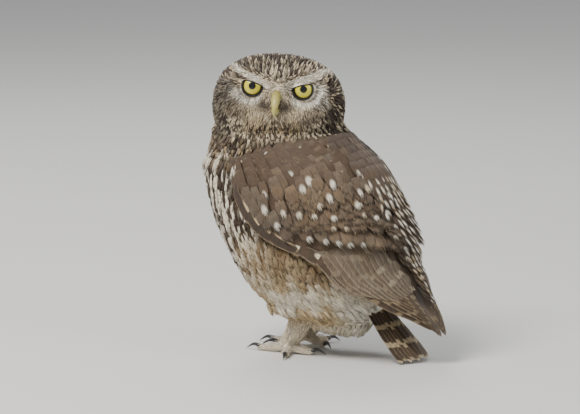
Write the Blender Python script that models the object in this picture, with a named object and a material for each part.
"""Little owl, life size, standing on the floor with its head turned back over its left shoulder.

Lengths in the tables below are millimetres in the bird's own frame: it faces -Y, its left side is +X,
+Z is up and the floor is z = 0. Meshes are made in metres.
"""
import math
import random

import bmesh
import bpy
import numpy as np
from mathutils import Matrix, Vector

MM = 0.001
REACH = 300               # half the side of a cutter that takes all
GAP = 0.3                 # clearance between nodes that meet

# Torso sections from the throat down to the vent: belly y and z, back y and z, half width.
TORSO = np.array([
    (-54, 131, 20, 131, 33),
    (-63, 118, 34, 124, 41),
    (-63, 106, 43, 112, 44.5),
    (-60, 91, 50.5, 101, 46),
    (-55, 76, 55, 91, 46),
    (-48, 62, 58.5, 81, 45),
    (-40, 49, 61, 71, 43),
    (-29, 36, 63, 61, 39.5),
    (-15, 25.5, 64, 52, 35),
    (3, 18, 62.5, 43, 29),
    (20, 14.5, 58, 34, 21),
    (34, 14.5, 52, 27, 12),
    (42, 17, 47, 22, 5),
])
TORSO_SQUARENESS = 2.2
TORSO_RINGS = 17
TORSO_SIDES = 26
NECK_SIDES = 26
NECK_BASE_Z = 121.0
NECK_TOP_Z = 131.5

# Left wing stations from the shoulder to the tip: lower edge x, y, z, upper edge x, y, z, bulge.
WING = np.array([
    (38, -30, 116, 16, 22, 130, 12),
    (41.5, -20, 97, 11, 44, 114, 16.7),
    (44, -4, 79, 9, 57, 94, 14.8),
    (43, 14, 70, 8, 64, 79, 10.4),
    (40.5, 33, 62, 7, 69, 66, 7),
    (35.5, 47, 50, 5, 73, 56, 5),
    (30, 60, 43, 3, 77, 48.5, 4),
    (18, 76.5, 33, 0.8, 80.5, 37, 3),
    (9.5, 87.5, 25.5, 0.5, 88, 27, 1.5),
    (2.8, 96.4, 16, 1.6, 96.4, 16.5, 0),
])
WING_END = len(WING) - 1
WING_CORE_END = 7.4
WING_LIFT = 1.4
FRONT_LIFT = 3.2          # more of it along the lower edge in front
WING_TILT = 1.3
WING_SEED = 8
SHOULDER_RAMP = 1.0       # stations over which the wing comes out from under the breast

HEAD_CENTRE = (0.0, -18.4, 147.0)
HEAD_YAW = 118.5          # degrees from straight ahead, towards the left shoulder
HEAD_PITCH = 8.0
HEAD_ROLL = 3.6
HEAD_HALF = (40.0, 31.0, 34.0, 31.0)   # half width, front depth, back depth, half height
EYE_X, EYE_Y, EYE_Z = 15.0, -18.6, 9.6
EYE_RADIUS = 8.5
LID_RING = 7.2          # middle of the dark rim round the opening
LID_THICKNESS = 1.4
LID_FORWARD = 6.0       # of the rim, from the middle of the eye
LID_BROW = 3.6          # the brow cuts the rim here
LID_SLANT = 0.32

TAIL_ROOT = (34.0, 52.4)  # y and z
TAIL_DROP = 47.0          # degrees below level
TAIL_LENGTH = 70.5
TAIL_ROOT_HALF = 7.0
TAIL_TIP_HALF = 16.5
TAIL_ARCH = 3.0           # how far its sides hang below its middle
TAIL_FEATHERS = 12
LEG_X = 16.0
LEG_STEP = 8.0            # how far the right foot is ahead of the left
LEG_PATH = ((12, 32), (8, 24), (3.2, 15), (-0.5, 8.5), (-2, 3.4))   # y and z from thigh to foot
LEG_WIDTHS = (10, 9, 6.6, 5.4, 4.4)
LEG_DEPTHS = (11, 9.5, 6.8, 5.4, 4.6)
LEG_SIDES = 16


def spline(rows, s):
    """Smooth value of a table at station s, by Catmull-Rom."""
    last = len(rows) - 1
    s = min(max(s, 0.0), last)
    i = min(int(s), last - 1)
    t = s - i
    p1, p2 = rows[i], rows[i + 1]
    p0 = rows[i - 1] if i > 0 else 2 * p1 - p2
    p3 = rows[i + 2] if i + 2 <= last else 2 * p2 - p1
    return 0.5 * (2 * p1 + (p2 - p0) * t + (2 * p0 - 5 * p1 + 4 * p2 - p3) * t ** 2
                  + (3 * p1 - p0 - 3 * p2 + p3) * t ** 3)


def unit(v):
    return v / (np.linalg.norm(v) + 1e-12)


def clear_scene():
    for obj in list(bpy.data.objects):
        bpy.data.objects.remove(obj)


def collection(name, hidden=False):
    made = bpy.data.collections.new(name)
    made.hide_render = hidden
    bpy.context.scene.collection.children.link(made)
    return made


def material(name, colour, roughness):
    made = bpy.data.materials.new(name)
    made.use_nodes = True
    shader = made.node_tree.nodes["Principled BSDF"]
    shader.inputs["Base Color"].default_value = (*colour, 1.0)
    shader.inputs["Roughness"].default_value = roughness
    shader.inputs["Metallic"].default_value = 0.0
    return made


def mesh_object(name, points, faces, group):
    """A mesh object from points in millimetres, its faces turned outwards."""
    mesh = bpy.data.meshes.new(name)
    bm = bmesh.new()
    verts = [bm.verts.new(Vector(p) * MM) for p in points]
    for face in faces:
        bm.faces.new([verts[i] for i in face])
    bmesh.ops.recalc_face_normals(bm, faces=bm.faces)
    bmesh.ops.triangulate(bm, faces=[f for f in bm.faces if len(f.verts) > 4])
    bm.to_mesh(mesh)
    bm.free()
    obj = bpy.data.objects.new(name, mesh)
    group.objects.link(obj)
    return obj


def loft(name, rings, group):
    """A closed body through rings that all have the same number of points."""
    sides = len(rings[0])
    points = [p for ring in rings for p in ring]
    faces = []
    for i in range(len(rings) - 1):
        for j in range(sides):
            a, b = i * sides + j, i * sides + (j + 1) % sides
            faces.append((a, b, b + sides, a + sides))
    faces.append(tuple(range(sides))[::-1])
    faces.append(tuple(range(len(points) - sides, len(points))))
    return mesh_object(name, points, faces, group)


def torso_point(s, angle, out=0.0):
    """Point of the torso at section s; angle 0 is the back, 90 degrees the left side."""
    belly_y, belly_z, back_y, back_z, half_width = spline(TORSO, s)
    centre = np.array([0.0, (belly_y + back_y) / 2, (belly_z + back_z) / 2])
    across = np.array([0.0, (back_y - belly_y) / 2, (back_z - belly_z) / 2])
    depth = np.linalg.norm(across)
    power = 2 / TORSO_SQUARENESS
    c, sn = math.cos(angle), math.sin(angle)
    c = math.copysign(abs(c) ** power, c)
    sn = math.copysign(abs(sn) ** power, sn)
    side = np.array([half_width + out, 0.0, 0.0])
    return centre + across / depth * (depth + out) * c + side * sn


def torso_body(name, group, out=0.0, first=0.0):
    rings = []
    for i in range(TORSO_RINGS):
        s = first + (len(TORSO) - 1 - first) * i / (TORSO_RINGS - 1)
        turns = [2 * math.pi * j / TORSO_SIDES for j in range(TORSO_SIDES)]
        rings.append([torso_point(s, a, out) for a in turns])
    if out:
        down = unit(rings[-1][0] * 0 + np.array([0.0, 0.6, -0.8]))
        rings[-1] = [p + down * out for p in rings[-1]]
        rings[0] = [p + np.array([0, 0, 1.0]) for p in rings[0]]
    return loft(name, rings, group)


def wing_point(k, q, height):
    """Point of the left wing's sheet at station k; q is 0 at the lower edge and 1 at the back."""
    row = spline(WING, k)
    before, after = spline(WING, k - 0.4), spline(WING, k + 0.4)
    low, high, bulge = row[:3], row[3:6], row[6]
    along = unit((after[:3] + after[3:6]) - (before[:3] + before[3:6]))
    chord = high - low
    outward = unit(np.cross(along, unit(chord)))
    slope = chord + outward * bulge * 4 * (1 - 2 * q)
    normal = unit(np.cross(along, unit(slope)))
    if outward[0] < 0:
        outward, normal = -outward, -normal
    return low + chord * q + outward * bulge * 4 * q * (1 - q) + normal * height


# Shape of a vane from root to tip: place along it, share of its full width and of its height.
LONG_VANE = ((0.0, 0.25, -1.0), (0.35, 0.9, 0.75), (0.7, 1.0, 1.0), (0.92, 0.74, 1.0), (1.0, 0.28, 0.9))
PRIMARY_VANE = ((0.0, 0.25, -1.0), (0.3, 0.9, 0.8), (0.65, 0.85, 1.0), (0.9, 0.5, 1.0), (1.0, 0.2, 0.9))
SHORT_VANE = ((0.0, 0.3, -1.0), (0.45, 1.0, 0.85), (0.82, 0.84, 1.0), (1.0, 0.3, 0.95))
ROOT_DEPTH = 1.6          # how far a vane's root is sunk in the core
VANE_THICKNESS = 0.75


def sheet_frame(sheet, u, v, du, dv):
    """Unit vectors at a point of a sheet: across a vane that runs along (du, dv), and outward."""
    step = 0.01
    here = sheet(u, v, 0.0)
    outward = unit(sheet(u, v, 1.0) - here)
    along = unit(sheet(u + du * step, v + dv * step, 0.0) - here)
    across = unit(np.cross(outward, along))
    if across @ (sheet(u, v + step, 0.0) - here) < 0:
        across = -across
    return across, outward


def vane(name, sheet, rows, root, tip, width, height, tilt, group):
    """A thin feather blade over a sheet; tilt lifts the edge that lies over its lower neighbour."""
    points = []
    for place, share, rise in rows:
        u = root[0] + (tip[0] - root[0]) * place
        v = root[1] + (tip[1] - root[1]) * place
        across, outward = sheet_frame(sheet, u, v, tip[0] - root[0], tip[1] - root[1])
        centre = sheet(u, v, height * rise if rise > 0 else -ROOT_DEPTH)
        side = across * (width * share / 2)
        lean = outward * (tilt * share / 2)
        thick = outward * (VANE_THICKNESS * (1.0 if place < 1.0 else 0.7) / 2)
        low, high = centre - side + lean, centre + side - lean
        points += [low + thick, high + thick, high - thick, low - thick]
    faces = [(0, 1, 2), (0, 2, 3)]
    for i in range(len(rows) - 1):
        a, b = 4 * i, 4 * i + 4
        faces += [(a, b + 1, a + 1), (a, b, b + 1), (a + 3, a + 2, b + 2), (a + 3, b + 2, b + 3)]
        faces += [(a + 1, b + 2, a + 2), (a + 1, b + 1, b + 2), (a, a + 3, b + 3), (a, b + 3, b)]
    end = 4 * (len(rows) - 1)
    faces += [(end, end + 2, end + 1), (end, end + 3, end + 2)]
    return mesh_object(name, points, faces, group)


def evaluated_mesh(obj):
    graph = bpy.context.evaluated_depsgraph_get()
    return bpy.data.meshes.new_from_object(obj.evaluated_get(graph))


def keep_largest(mesh):
    """Leaves only the closed surface that has the most volume, also where others touch it along an edge."""
    bm = bmesh.new()
    bm.from_mesh(mesh)
    bm.faces.ensure_lookup_table()
    left = set(bm.faces)
    islands = []
    while left:
        seed = left.pop()
        island, queue = [seed], [seed]
        while queue:
            for edge in queue.pop().edges:
                if len(edge.link_faces) != 2:
                    continue
                for face in edge.link_faces:
                    if face in left:
                        left.remove(face)
                        island.append(face)
                        queue.append(face)
        islands.append(island)
    if len(islands) > 1:
        best = max(islands, key=lambda faces: abs(sum(
            f.calc_area() * f.normal.dot(f.calc_center_median()) for f in faces)))
        drop = [f for island in islands if island is not best for f in island]
        bmesh.ops.delete(bm, geom=drop, context="FACES")
    bm.to_mesh(mesh)
    bm.free()


def boolean(obj, operation, operand, solver="MANIFOLD"):
    """Applies a Boolean of obj with an object or with every object of a collection."""
    modifier = obj.modifiers.new(operation.lower(), "BOOLEAN")
    modifier.operation = operation
    modifier.solver = solver
    if isinstance(operand, bpy.types.Collection):
        modifier.operand_type = "COLLECTION"
        modifier.collection = operand
    else:
        modifier.object = operand
    mesh = evaluated_mesh(obj)
    obj.modifiers.remove(modifier)
    obj.data = mesh
    keep_largest(mesh)


def fuse(base, pieces):
    """Joins a collection of closed pieces to the base and removes them."""
    boolean(base, "UNION", pieces)
    for obj in list(pieces.objects):
        bpy.data.objects.remove(obj)
    bpy.data.collections.remove(pieces)


def cut(obj, *cutters):
    for cutter in cutters:
        boolean(obj, "DIFFERENCE", cutter)


def slab(name, low, high, group):
    """An axis-aligned box between two corners in millimetres."""
    size = [end - start for start, end in zip(low, high)]
    middle = [(start + end) / 2 for start, end in zip(low, high)]
    bm = bmesh.new()
    bmesh.ops.create_cube(bm, size=1.0)
    bmesh.ops.scale(bm, vec=[x * MM for x in size], verts=bm.verts)
    bmesh.ops.translate(bm, vec=[x * MM for x in middle], verts=bm.verts)
    mesh = bpy.data.meshes.new(name)
    bm.to_mesh(mesh)
    bm.free()
    obj = bpy.data.objects.new(name, mesh)
    group.objects.link(obj)
    return obj


def ball(name, centre, radius, group, around=16, rings=9):
    bm = bmesh.new()
    bmesh.ops.create_uvsphere(bm, u_segments=around, v_segments=rings, radius=radius * MM)
    mesh = bpy.data.meshes.new(name)
    bm.to_mesh(mesh)
    bm.free()
    obj = bpy.data.objects.new(name, mesh)
    mesh.transform(Matrix.Translation(Vector(centre) * MM))
    group.objects.link(obj)
    return obj


def tube_rings(centres, half_widths, half_depths, sides, out=0.0, sideways=None):
    """Rings square to a path: width runs along sideways, depth across it."""
    centres = [np.array(c, float) for c in centres]
    rings = []
    for i, centre in enumerate(centres):
        ahead = unit(centres[min(i + 1, len(centres) - 1)] - centres[max(i - 1, 0)])
        wide = np.array([1.0, 0.0, 0.0]) if sideways is None else np.array(sideways, float)
        wide = unit(wide - ahead * (wide @ ahead))
        deep = np.cross(ahead, wide)
        w, d = half_widths[i] + out, half_depths[i] + out
        turns = [2 * math.pi * j / sides for j in range(sides)]
        rings.append([centre + wide * w * math.cos(t) + deep * d * math.sin(t) for t in turns])
    if out:
        first = unit(centres[0] - centres[1]) * out
        last = unit(centres[-1] - centres[-2]) * out
        rings[0] = [p + first for p in rings[0]]
        rings[-1] = [p + last for p in rings[-1]]
    return rings


def head_matrix():
    """From the head's own frame, facing -Y, to the bird's."""
    turn = Matrix.Rotation(math.radians(HEAD_YAW), 4, "Z")
    nod = Matrix.Rotation(math.radians(-HEAD_PITCH), 4, "X")
    roll = Matrix.Rotation(math.radians(HEAD_ROLL), 4, "Y")
    return Matrix.Translation(Vector(HEAD_CENTRE)) @ turn @ nod @ roll


def placed(points):
    """Points of the head's own frame, in the bird's frame."""
    matrix = head_matrix()
    return [np.array(matrix @ Vector(p)) for p in points]


def segment_distance(x, z, start, end):
    dx, dz = end[0] - start[0], end[1] - start[1]
    t = ((x - start[0]) * dx + (z - start[1]) * dz) / (dx * dx + dz * dz)
    t = min(max(t, 0.0), 1.0)
    return math.hypot(x - start[0] - dx * t, z - start[1] - dz * t)


def bell(distance, width):
    return math.exp(-0.5 * (distance / width) ** 2)


def face_relief(x, z):
    """How far the plumage of the face stands forward of the plain head form."""
    side = abs(x)
    hollow = -5.2 * math.exp(-(math.hypot(side - EYE_X, z - EYE_Z) / 10.5) ** 4)
    brow = 2.6 * bell(segment_distance(side, z, (4, 13), (29, 21.8)), 2.8)
    rim = 1.4 * bell(math.hypot(side, z - 2) - 29, 3.0)
    bridge = 1.5 * bell(side / 4.5, 1.0) * bell((z - 2) / 8.0, 1.0)
    cheek = 1.8 * bell(math.hypot(side - 9, z + 11), 5.0)
    return hollow + brow + rim + bridge + cheek


def head_point(polar, around, out=0.0):
    """Point of the head in its own frame; polar is 0 at the middle of the face."""
    width, front, back, height = HEAD_HALF
    d = np.array([math.sin(polar) * math.cos(around), -math.cos(polar), math.sin(polar) * math.sin(around)])
    depth = front if d[1] < 0 else back
    power = 2.3
    reach = (abs(d[0] / width) ** power + abs(d[1] / depth) ** power + abs(d[2] / height) ** power)
    point = d * (reach ** (-1 / power) + out)
    if d[1] < 0:
        point[1] -= face_relief(point[0], point[2]) * min(1.0, -2.5 * d[1])
    return point


def head_form(name, group, out=0.0):
    polars = [math.radians(a) for a in (0, 9, 17, 24, 30, 36, 42, 48, 55, 64, 76, 90, 106, 122, 140, 160)]
    spokes = 30
    rings = [[head_point(p, 2 * math.pi * j / spokes, out) for j in range(spokes)] for p in polars[1:]]
    points = [head_point(0, 0, out)] + [p for ring in rings for p in ring] + [head_point(math.pi, 0, out)]
    faces = [(0, 1 + j, 1 + (j + 1) % spokes) for j in range(spokes)]
    for i in range(len(rings) - 1):
        for j in range(spokes):
            a, b = 1 + i * spokes + j, 1 + i * spokes + (j + 1) % spokes
            faces += [(a, b, b + spokes), (a, b + spokes, a + spokes)]
    start = 1 + (len(rings) - 1) * spokes
    faces += [(start + j, start + (j + 1) % spokes, len(points) - 1) for j in range(spokes)]
    return mesh_object(name, placed(points), faces, group)


def neck_column(name, group, out=0.0):
    """The plumage between the body and the turned head."""
    rings = []
    yaw = math.radians(HEAD_YAW)
    for z in (116, 120, 124, 128, 131, 134, 137, 140):
        blend = min(max((z - 119) / 18, 0.0), 1.0)
        blend = blend * blend * (3 - 2 * blend)
        inset = 5 * bell(z - 116, 1.5) + 6 * bell(z - 141, 3)
        ring = []
        for j in range(NECK_SIDES):
            t = 2 * math.pi * j / NECK_SIDES
            room = out - inset
            low = np.array([(41.3 + room) * math.cos(t), -14.5 + (48.8 + room) * math.sin(t), z])
            turned = Vector(((41 + room) * math.cos(t - yaw), (29.5 + room) * math.sin(t - yaw), 0))
            turned.rotate(Matrix.Rotation(yaw, 3, "Z"))
            high = np.array([turned.x, turned.y + HEAD_CENTRE[1] + 0.5, z])
            ring.append(low * (1 - blend) + high * blend)
        rings.append(ring)
    return loft(name, rings, group)


def wing_lift(k, q):
    """How far the wing lies off its sheet so as to clear the side of the body."""
    front = max(0.0, 1 - k / 4)
    return WING_LIFT * (1 - k / WING_END) + FRONT_LIFT * (1 - q) ** 3 * front


def wing_sheet(k, q, height):
    k = max(k, 0.0)
    thinning = 1 - 0.6 * (k / WING_END) ** 2
    shoulder = min(k / SHOULDER_RAMP, 1.0)
    shoulder = 0.25 + 0.75 * shoulder * shoulder * (3 - 2 * shoulder)
    return wing_point(k, q, (height * thinning + wing_lift(k, q)) * shoulder)


def wing_core(name, group):
    """The closed form that a wing's vanes are rooted in; it ends short of the longest ones."""
    rings = []
    for i in range(11):
        k = WING_CORE_END * i / 10
        bottom = -6.0 * (1 - (k / WING_END) ** 1.5) - 0.5
        across = [0.01 + 0.97 * j / 5 for j in range(6)]
        upper = [wing_sheet(k, q, 0.2) for q in across]
        rings.append(upper + [wing_sheet(k, q, bottom) for q in across[::-1]])
    return loft(name, rings, group)


def wing_feathers():
    """Shape, root, tip, width and height of every vane of a wing, tier by tier, the lowest tier first."""
    for i in range(5):
        tip = (9.0 - 0.36 * abs(i - 1.2) ** 1.3, 0.93 - 0.8 * math.exp(-0.7 * i))
        yield "primary", PRIMARY_VANE, (4.6, 0.06 + 0.12 * i), tip, 11.0, 0.4
    for j in range(6):
        x = j / 5
        tip = (5.85 + 2.9 * x - 2.3 * x * x, 0.07 + 0.85 * x)
        yield "secondary", LONG_VANE, (3.1 + 0.4 * x, 0.1 + 0.82 * x), tip, 14.5, 0.85
    for i in range(2):
        yield "primary_covert", SHORT_VANE, (2.2 + 0.9 * i, 0.05), (3.9 + 0.9 * i, 0.03), 9.0, 0.95
    yield "alula", SHORT_VANE, (0.8, 0.05), (2.8, 0.02), 9.5, 1.25
    for j in range(7):
        q = 0.13 + 0.13 * j
        k = 3.0 + 1.25 * math.sqrt((q - 0.1) / 0.6)
        yield "greater_covert", SHORT_VANE, (k - 1.3, min(q + 0.17, 0.97)), (k, q), 12.0, 1.4
    for j in range(6):
        q = 0.09 + 0.15 * j
        k = 1.4 + 1.65 * math.sqrt(q)
        yield "median_covert", SHORT_VANE, (k - 1.1, min(q + 0.16, 0.98)), (k, q), 12.5, 1.8
    for row, (count, start, gain) in enumerate(((4, 0.8, 1.35), (3, 0.42, 0.95))):
        for j in range(count):
            q = 0.05 + (0.75 / (count - 1)) * j
            k = start + gain * math.sqrt(q)
            root = (max(k - 1.0, 0.02), min(q + 0.14, 0.99))
            yield "lesser_covert", SHORT_VANE, root, (k, q), 15.0, 2.15 + 0.15 * row
    for j in range(6):
        x = j / 5
        tip = (1.6 + 3.1 * x, 0.6 + 0.34 * x)
        yield "scapular", SHORT_VANE, (0.3 + 3.0 * x, 0.72 + 0.24 * x), tip, 12.5, 2.5
    for j in range(3):
        x = j / 2
        tip = (1.1 + 2.1 * x, 0.8 + 0.15 * x)
        yield "mantle", SHORT_VANE, (0.05 + 1.7 * x, 0.9 + 0.06 * x), tip, 13.0, 2.8


def tail_feathers():
    """Root, tip, width and height of every tail vane; the middle pair lies over the others."""
    for pair in range(TAIL_FEATHERS // 2):
        x = (pair + 0.5) / (TAIL_FEATHERS // 2)
        for side in (-1, 1):
            root = (0.06, side * x * 0.9)
            tip = (1.0 - 0.05 * x * x, side * x)
            yield root, tip, 9.5, 1.3 - 2.2 * x, -side


def mirrored(source, name, group):
    """A copy of a left-hand piece for the right side, its faces turned back outwards."""
    mesh = source.data.copy()
    mesh.transform(Matrix.Scale(-1, 4, Vector((1, 0, 0))))
    mesh.flip_normals()
    obj = bpy.data.objects.new(name, mesh)
    group.objects.link(obj)
    return obj


def tail_point(along, side, height=0.0):
    """Point of the tail's upper surface: along it from root to tip, side -1 to 1 across it."""
    root_y, root_z = TAIL_ROOT
    drop = math.radians(TAIL_DROP)
    down = np.array([0.0, math.cos(drop), -math.sin(drop)])
    up = np.array([0.0, math.sin(drop), math.cos(drop)])
    half = TAIL_ROOT_HALF + (TAIL_TIP_HALF - TAIL_ROOT_HALF) * along
    bend = -TAIL_ARCH * side * side
    base = np.array([0.0, root_y, root_z])
    return base + down * TAIL_LENGTH * along + up * (height + bend) + np.array([half * side, 0.0, 0.0])


def tail_core(name, group):
    rings = []
    for i in range(7):
        along = 0.72 * i / 6
        thick = 4.5 * (1 - along) + 1.0
        sides = [-0.92 + 1.84 * j / 6 for j in range(7)]
        upper = [tail_point(along, x, 0.4) for x in sides]
        rings.append(upper + [tail_point(along, x, 0.4 - thick) for x in sides[::-1]])
    return loft(name, rings, group)


def lid_ring(name, side, group, out=0.0):
    """The dark rim round an eye, flattened above by the slanting brow."""
    around, sides = 16, 6
    points = []
    for i in range(around):
        t = 2 * math.pi * i / around
        x, z = LID_RING * math.cos(t), LID_RING * math.sin(t)
        ceiling = LID_BROW + LID_SLANT * x
        if z > ceiling:
            z = ceiling + (z - ceiling) * 0.25
        radial = unit(np.array([x, 0.0, z]))
        centre = np.array([side * (EYE_X + x), EYE_Y - LID_FORWARD, EYE_Z + z])
        for j in range(sides):
            a = 2 * math.pi * j / sides
            offset = radial * math.cos(a) * (LID_THICKNESS + out)
            offset = np.array([offset[0] * side, -math.sin(a) * (LID_THICKNESS + out), offset[2]])
            points.append(centre + offset)
    faces = []
    for i in range(around):
        for j in range(sides):
            a, b = i * sides + j, i * sides + (j + 1) % sides
            c, d = ((i + 1) % around) * sides + j, ((i + 1) % around) * sides + (j + 1) % sides
            faces += [(a, b, d), (a, d, c)]
    return mesh_object(name, placed(points), faces, group)


NOSTRIL = (2.4, -33.4, 3.5)
NOSTRIL_RADIUS = 0.8
BILL_UPPER = (
    (0, -24, 4.8), (0, -30, 4.6), (0, -34, 2.2),
    (0, -36.6, -1.4), (0, -37.2, -5.2), (0, -36, -8.4),
)
BILL_UPPER_WIDTHS = (3.2, 3.1, 2.7, 2.1, 1.3, 0.3)
BILL_UPPER_DEPTHS = (3.2, 3.3, 3.0, 2.4, 1.5, 0.35)
BILL_LOWER = ((0, -25, -3.2), (0, -31, -3.8), (0, -33.9, -5.0), (0, -35, -6.4))
BILL_LOWER_WIDTHS = (2.6, 2.5, 1.9, 0.8)
BILL_LOWER_DEPTHS = (1.5, 1.5, 1.2, 0.5)


def bill_half(name, path, widths, depths, group, out=0.0):
    rings = tube_rings(path, widths, depths, 14, out)
    return loft(name, [placed(ring) for ring in rings], group)


def leg_form(name, side, step, group, out=0.0):
    x = side * LEG_X
    path = [(x, y - step, z) for y, z in LEG_PATH]
    return loft(name, tube_rings(path, LEG_WIDTHS, LEG_DEPTHS, LEG_SIDES, out), group)


# Toes of the left foot: x from the foot's middle and y at the root, the last joint and the claw tip.
TOES = {
    "inner": ((-2.5, -3.0), (-10.5, -16.5), (-15.5, -23.5)),
    "middle": ((-0.8, -4.5), (-1.8, -24.0), (-2.5, -33.0)),
    "outer": ((3.5, -1.0), (15.5, 5.5), (23.0, 9.1)),
    "hallux": ((0.5, 1.0), (-2.6, 14.0), (-6.6, 20.8)),
}
TOE_RADIUS = 2.6
TOE_SINK = 0.45           # pads pressed flat on the floor
TOE_ROOT_LIFT = 1.8
CLAW_RADIUS = 1.4


def toe_form(name, side, step, toe, group, out=0.0):
    root, joint, _ = TOES[toe]
    path, radii = [], []
    for i in range(7):
        t = i / 6
        x = root[0] + (joint[0] - root[0]) * t
        y = root[1] + (joint[1] - root[1]) * t
        radius = TOE_RADIUS * (1.12 - 0.3 * t + 0.1 * math.cos(4 * math.pi * t))
        path.append((side * (LEG_X + x), y - step, radius - TOE_SINK + TOE_ROOT_LIFT * (1 - t) ** 2))
        radii.append(radius)
    radii[-1] *= 0.7
    across = (side * (joint[1] - root[1]), -(joint[0] - root[0]), 0)
    return loft(name, tube_rings(path, radii, radii, 8, out, across), group)


def claw_form(name, side, step, toe, group):
    root, joint, tip = TOES[toe]
    path, radii = [], []
    for i in range(7):
        t = i / 6
        x = joint[0] + (tip[0] - joint[0]) * (t * 1.12 - 0.12)
        y = joint[1] + (tip[1] - joint[1]) * (t * 1.12 - 0.12)
        z = 2.3 + 2.6 * math.sin(math.pi * min(t * 0.95, 1.0)) * (1 - 0.45 * t) - 2.25 * t
        path.append((side * (LEG_X + x), y - step, z))
        radii.append(CLAW_RADIUS * (1 - t) ** 0.8 + 0.12)
    across = (side * (tip[1] - joint[1]), -(tip[0] - joint[0]), 0)
    return loft(name, tube_rings(path, radii, radii, 6, 0.0, across), group)


COLOURS = {
    "plumage_brown": ((0.13, 0.085, 0.055), 0.85),
    "plumage_head": ((0.25, 0.19, 0.14), 0.85),
    "plumage_pale": ((0.55, 0.42, 0.28), 0.9),
    "plumage_leg": ((0.6, 0.52, 0.41), 0.9),
    "iris_yellow": ((0.75, 0.68, 0.08), 0.15),
    "lid_black": ((0.02, 0.018, 0.016), 0.5),
    "bill_horn": ((0.55, 0.55, 0.27), 0.4),
    "claw_black": ((0.025, 0.022, 0.02), 0.35),
}


def body_form(name, tools, out=0.0):
    """Torso, neck and head as one closed form; out makes it larger, to cut its neighbours clear."""
    whole = torso_body(name, tools, out)
    joined = collection("joined", hidden=True)
    neck_column("column", joined, out)
    head_form("head_blank", joined, out)
    fuse(whole, joined)
    return whole


def owl_body(parts, tools):
    """The body's one form, parted into torso, neck and head by two thin level cuts."""
    levels = {
        "torso": (-REACH, NECK_BASE_Z - GAP / 2),
        "neck": (NECK_BASE_Z + GAP / 2, NECK_TOP_Z - GAP / 2),
        "head": (NECK_TOP_Z + GAP / 2, REACH),
    }
    whole = body_form("whole", tools)
    nodes = {}
    for name, (low, high) in levels.items():
        node = bpy.data.objects.new(name, whole.data.copy())
        parts.objects.link(node)
        boolean(node, "INTERSECT", slab(name + "_zone", (-REACH, -REACH, low), (REACH, REACH, high), tools))
        nodes[name] = node
    return nodes


def owl_face(parts, tools, head):
    """Eyes, lids and the two halves of the bill, each let into the head."""
    sides = {"left": 1, "right": -1}
    nodes = {}
    for side_name, side in sides.items():
        centre = placed([(side * EYE_X, EYE_Y, EYE_Z)])[0]
        eye = ball("eye_" + side_name, centre, EYE_RADIUS, parts)
        socket = ball("socket_" + side_name, centre, EYE_RADIUS + GAP, tools, 16, 9)
        lid = lid_ring("eyelid_" + side_name, side, parts)
        cut(lid, socket)
        cut(head, socket, lid_ring("lid_bed_" + side_name, side, tools, GAP))
        nodes[eye.name] = eye
        nodes[lid.name] = lid
    upper = bill_half("bill_upper", BILL_UPPER, BILL_UPPER_WIDTHS, BILL_UPPER_DEPTHS, parts)
    lower = bill_half("bill_lower", BILL_LOWER, BILL_LOWER_WIDTHS, BILL_LOWER_DEPTHS, parts)
    upper_bed = bill_half("upper_bed", BILL_UPPER, BILL_UPPER_WIDTHS, BILL_UPPER_DEPTHS, tools, GAP)
    lower_bed = bill_half("lower_bed", BILL_LOWER, BILL_LOWER_WIDTHS, BILL_LOWER_DEPTHS, tools, GAP)
    cut(lower, upper_bed)
    cut(head, upper_bed, lower_bed)
    for side in sides.values():
        spot = placed([(side * NOSTRIL[0], NOSTRIL[1], NOSTRIL[2])])[0]
        cut(upper, ball("nostril", spot, NOSTRIL_RADIUS, tools, 8, 5))
    nodes["bill_upper"] = upper
    nodes["bill_lower"] = lower
    return nodes


def owl_wings(parts, body_bed, middle):
    """The left wing with its vanes in tiers, and its mirror image."""
    varied = random.Random(WING_SEED)
    left = wing_core("wing_left", parts)
    feathers = collection("feathers", hidden=True)
    for tier, rows, root, tip, width, height in wing_feathers():
        tip = (tip[0] + varied.uniform(-0.05, 0.05), tip[1] + varied.uniform(-0.01, 0.01))
        root = (root[0] + varied.uniform(-0.04, 0.04), root[1] + varied.uniform(-0.01, 0.01))
        width *= varied.uniform(0.96, 1.04)
        height += varied.uniform(-0.12, 0.12)
        vane(tier, wing_sheet, rows, root, tip, width, height, WING_TILT, feathers)
    fuse(left, feathers)
    cut(left, middle)
    right = mirrored(left, "wing_right", parts)
    for wing in (left, right):
        cut(wing, body_bed)
    return {"wing_left": left, "wing_right": right}


def owl_tail(parts, body_bed, floor):
    tail = tail_core("tail", parts)
    feathers = collection("feathers", hidden=True)
    for root, tip, width, height, tilt in tail_feathers():
        vane("rectrix", tail_point, LONG_VANE, root, tip, width, height, tilt, feathers)
    fuse(tail, feathers)
    cut(tail, body_bed, floor)
    return {"tail": tail}


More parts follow.
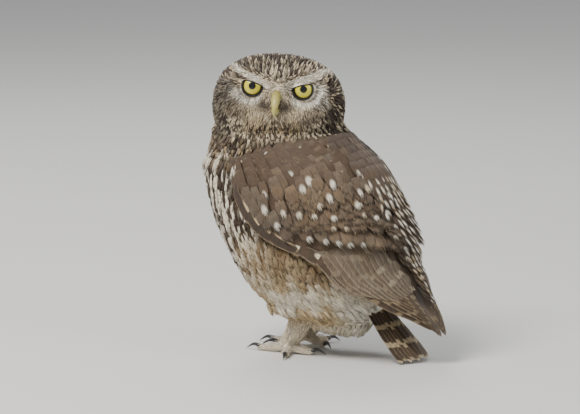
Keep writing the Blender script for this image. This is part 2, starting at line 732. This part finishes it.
def owl_legs(parts, tools, body_bed, floor):
    nodes = {}
    for side_name, side in (("left", 1), ("right", -1)):
        step = 0.0 if side > 0 else LEG_STEP
        leg = leg_form("leg_" + side_name, side, step, parts)
        cut(leg, body_bed)
        beds = [leg_form("leg_bed_" + side_name, side, step, tools, GAP), floor]
        cut(leg, floor)
        nodes[leg.name] = leg
        for toe in TOES:
            toe_name = "toe_" + toe + "_" + side_name
            node = toe_form(toe_name, side, step, toe, parts)
            cut(node, *beds)
            claw = claw_form("claw_" + toe + "_" + side_name, side, step, toe, parts)
            toe_bed = toe_form(toe_name + "_bed", side, step, toe, tools, GAP)
            cut(claw, toe_bed, floor)
            beds.append(toe_bed)
            nodes[node.name] = node
            nodes[claw.name] = claw
    return nodes


FINISH_OF = (
    ("toe_", "plumage_leg"),
    ("leg_", "plumage_leg"),
    ("claw_", "claw_black"),
    ("eyelid_", "lid_black"),
    ("eye_", "iris_yellow"),
    ("bill_", "bill_horn"),
    ("head", "plumage_head"),
    ("neck", "plumage_head"),
    ("torso", "plumage_pale"),
    ("wing_", "plumage_brown"),
    ("tail", "plumage_brown"),
)


def finish_nodes(nodes):
    """Gives every node its material and soft shading, and stands the bird over the origin."""
    finishes = {name: material(name, *values) for name, values in COLOURS.items()}
    spans = []
    for name, obj in nodes.items():
        key = next(finish for start, finish in FINISH_OF if name.startswith(start))
        obj.data.materials.clear()
        obj.data.materials.append(finishes[key])
        obj.data.shade_smooth()
        obj.data.set_sharp_from_angle(angle=math.radians(50))
        spans.append([v.co for v in obj.data.vertices])
    points = np.array([co for span in spans for co in span])
    low, high = points.min(axis=0), points.max(axis=0)
    stand = bpy.data.objects.new("little_owl_origin", None)
    bpy.data.collections["little_owl"].objects.link(stand)
    stand.location = (-(low[0] + high[0]) / 2, -(low[1] + high[1]) / 2, 0)
    for obj in nodes.values():
        obj.parent = stand


def build():
    clear_scene()
    parts = collection("little_owl")
    tools = collection("cutters", hidden=True)
    floor = slab("floor", (-REACH, -REACH, -REACH), (REACH, REACH, 0), tools)
    middle = slab("mid_plane", (-GAP / 2, -REACH, -REACH), (GAP / 2, REACH, REACH), tools)
    body_bed = body_form("body_bed", tools, GAP)
    nodes = owl_body(parts, tools)
    nodes.update(owl_face(parts, tools, nodes["head"]))
    nodes.update(owl_wings(parts, body_bed, middle))
    nodes.update(owl_tail(parts, body_bed, floor))
    nodes.update(owl_legs(parts, tools, body_bed, floor))
    finish_nodes(nodes)


build()
